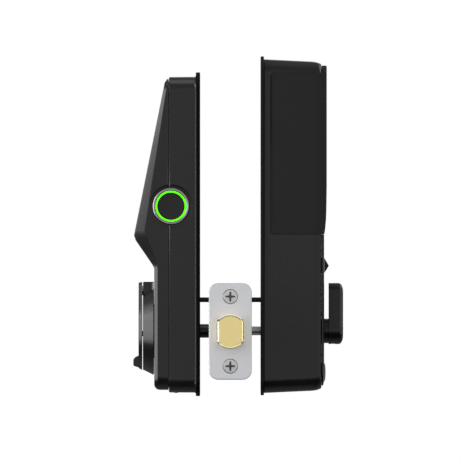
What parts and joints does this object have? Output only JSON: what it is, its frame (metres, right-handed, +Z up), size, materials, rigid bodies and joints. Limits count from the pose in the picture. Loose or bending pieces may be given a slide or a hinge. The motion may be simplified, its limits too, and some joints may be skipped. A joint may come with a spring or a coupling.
{
  "type": "keypad smart lock",
  "caption": "Deadbolt smart lock for a single-bore door: wedge-shaped keypad unit with side fingerprint sensor and key cylinder, brass bolt, and room-side unit with thumbturn.",
  "frame": {"origin": "on the axis of the door's cross bore, which is the thumbturn and key cylinder axis, half way through the door", "axes": "+X points into the room, -Y points at the door's free edge where the bolt comes out, +Z is up"},
  "size_m": [0.1248, 0.1254, 0.2017],
  "materials": {
    "casing_paint": "dark charcoal satin paint",
    "gasket_rubber": "matt black moulded rubber",
    "touch_glass": "black glossy touch glass with white digits",
    "diffuser": "milky light guide",
    "board": "green solder-masked circuit board",
    "sensor_bezel": "satin silver ring",
    "sensor_light": "lit green light ring",
    "sensor_pad": "fine matt black sensor pad",
    "cylinder_metal": "satin chromed zinc",
    "plug_brass": "turned brass",
    "steel": "plain zinc-plated steel",
    "faceplate_satin": "satin nickel plated steel",
    "bolt_brass": "polished brass",
    "fascia_gloss": "glossy black plastic",
    "cover_plastic": "fine-textured black plastic",
    "tray_plastic": "moulded black plastic",
    "cell_wrap": "plain wrapped battery cell",
    "contact_metal": "nickel-plated contact metal",
    "acetal": "natural acetal",
    "cable_rubber": "black cable jacket"
  },
  "bodies": {
    "lock_frame": {"exterior_gasket": "gasket_rubber", "exterior_rear_housing": "casing_paint", "exterior_front_shell": "casing_paint", "touch_glass": "touch_glass", "keypad_light_guide": "diffuser", "keypad_board": "board", "exterior_main_board": "board", "fingerprint_bezel": "sensor_bezel", "fingerprint_light_ring": "sensor_light", "fingerprint_sensor": "sensor_pad", "emergency_contact_front": "contact_metal", "emergency_contact_rear": "contact_metal", "cylinder_guard": "casing_paint", "cylinder_body": "cylinder_metal", "key_cover_pivot": "steel", "faceplate": "faceplate_satin", "backplate": "steel", "faceplate_screw_upper": "steel", "faceplate_screw_lower": "steel", "bolt_sleeve": "steel", "bolt_case": "steel", "through_bolt_front": "steel", "through_bolt_rear": "steel", "interior_gasket": "gasket_rubber", "mounting_plate": "steel", "interior_housing": "casing_paint", "front_fascia": "fascia_gloss", "battery_tray": "tray_plastic", "battery_cell_1": "cell_wrap", "battery_cell_2": "cell_wrap", "battery_cell_3": "cell_wrap", "battery_cell_4": "cell_wrap", "contact_strip_lower": "contact_metal", "contact_strip_upper": "contact_metal", "interior_board": "board", "switch_board": "board", "gear_motor": "steel", "intermediate_axle": "steel", "thumbturn_bushing": "acetal", "connecting_cable": "cable_rubber"},
    "thumbturn": {"thumbturn_lever": "casing_paint", "lever_set_screw": "steel", "thumbturn_spindle": "steel", "drive_gear": "acetal", "tailpiece": "steel", "cam_hub": "steel"},
    "bolt_slide": {"bolt": "bolt_brass", "bolt_tail": "steel"},
    "idler": {"intermediate_gear": "acetal"},
    "pinion": {"motor_pinion": "plug_brass"},
    "key_plug": {"key_plug": "plug_brass", "plug_retainer": "steel"},
    "cover_flap": {"key_cover": "casing_paint"},
    "battery_lid": {"battery_cover": "cover_plastic"},
    "release_latch": {"cover_release_latch": "cover_plastic"},
    "button": {"push_button": "fascia_gloss"}
  },
  "joints": [
    {"name": "thumbturn_turn", "type": "hinge", "parent": "lock_frame", "child": "thumbturn", "pos_m": [0, 0, 0], "axis": [1, 0, 0], "range_deg": [0, 90]},
    {"name": "bolt_throw", "type": "slide", "parent": "lock_frame", "child": "bolt_slide", "axis": [0, 1, 0], "range_m": [0, 0.0254]},
    {"name": "idler_turn", "type": "hinge", "parent": "lock_frame", "child": "idler", "pos_m": [0.043, 0.012, 0.0208], "axis": [1, 0, 0], "range_deg": [-135, 0]},
    {"name": "pinion_turn", "type": "hinge", "parent": "lock_frame", "child": "pinion", "pos_m": [0.043, 0.012, 0.0352], "axis": [1, 0, 0], "range_deg": [0, 270]},
    {"name": "key_plug_turn", "type": "hinge", "parent": "lock_frame", "child": "key_plug", "pos_m": [-0.045, 0, 0], "axis": [1, 0, 0], "range_deg": [-90, 90]},
    {"name": "key_cover_swing", "type": "hinge", "parent": "lock_frame", "child": "cover_flap", "pos_m": [-0.0536, 0, 0.024], "axis": [1, 0, 0], "range_deg": [-90, 90]},
    {"name": "battery_cover_off", "type": "slide", "parent": "lock_frame", "child": "battery_lid", "axis": [1, 0, 0], "range_m": [0, 0.045]},
    {"name": "release_latch_slide", "type": "slide", "parent": "lock_frame", "child": "release_latch", "axis": [0, 0, -1], "range_m": [0, 0.003], "stiffness_N_per_m": 300, "springref_m": -0.001},
    {"name": "push_button_press", "type": "slide", "parent": "lock_frame", "child": "button", "axis": [-1, 0, 0], "range_m": [0, 0.001], "stiffness_N_per_m": 1000, "springref_m": -0.0005}
  ],
  "couplings": [
    {"joint": "bolt_throw", "follows": "thumbturn_turn", "m_per_rad": 0.01616},
    {"joint": "idler_turn", "follows": "thumbturn_turn", "ratio": -1.5},
    {"joint": "pinion_turn", "follows": "thumbturn_turn", "ratio": 3}
  ]
}
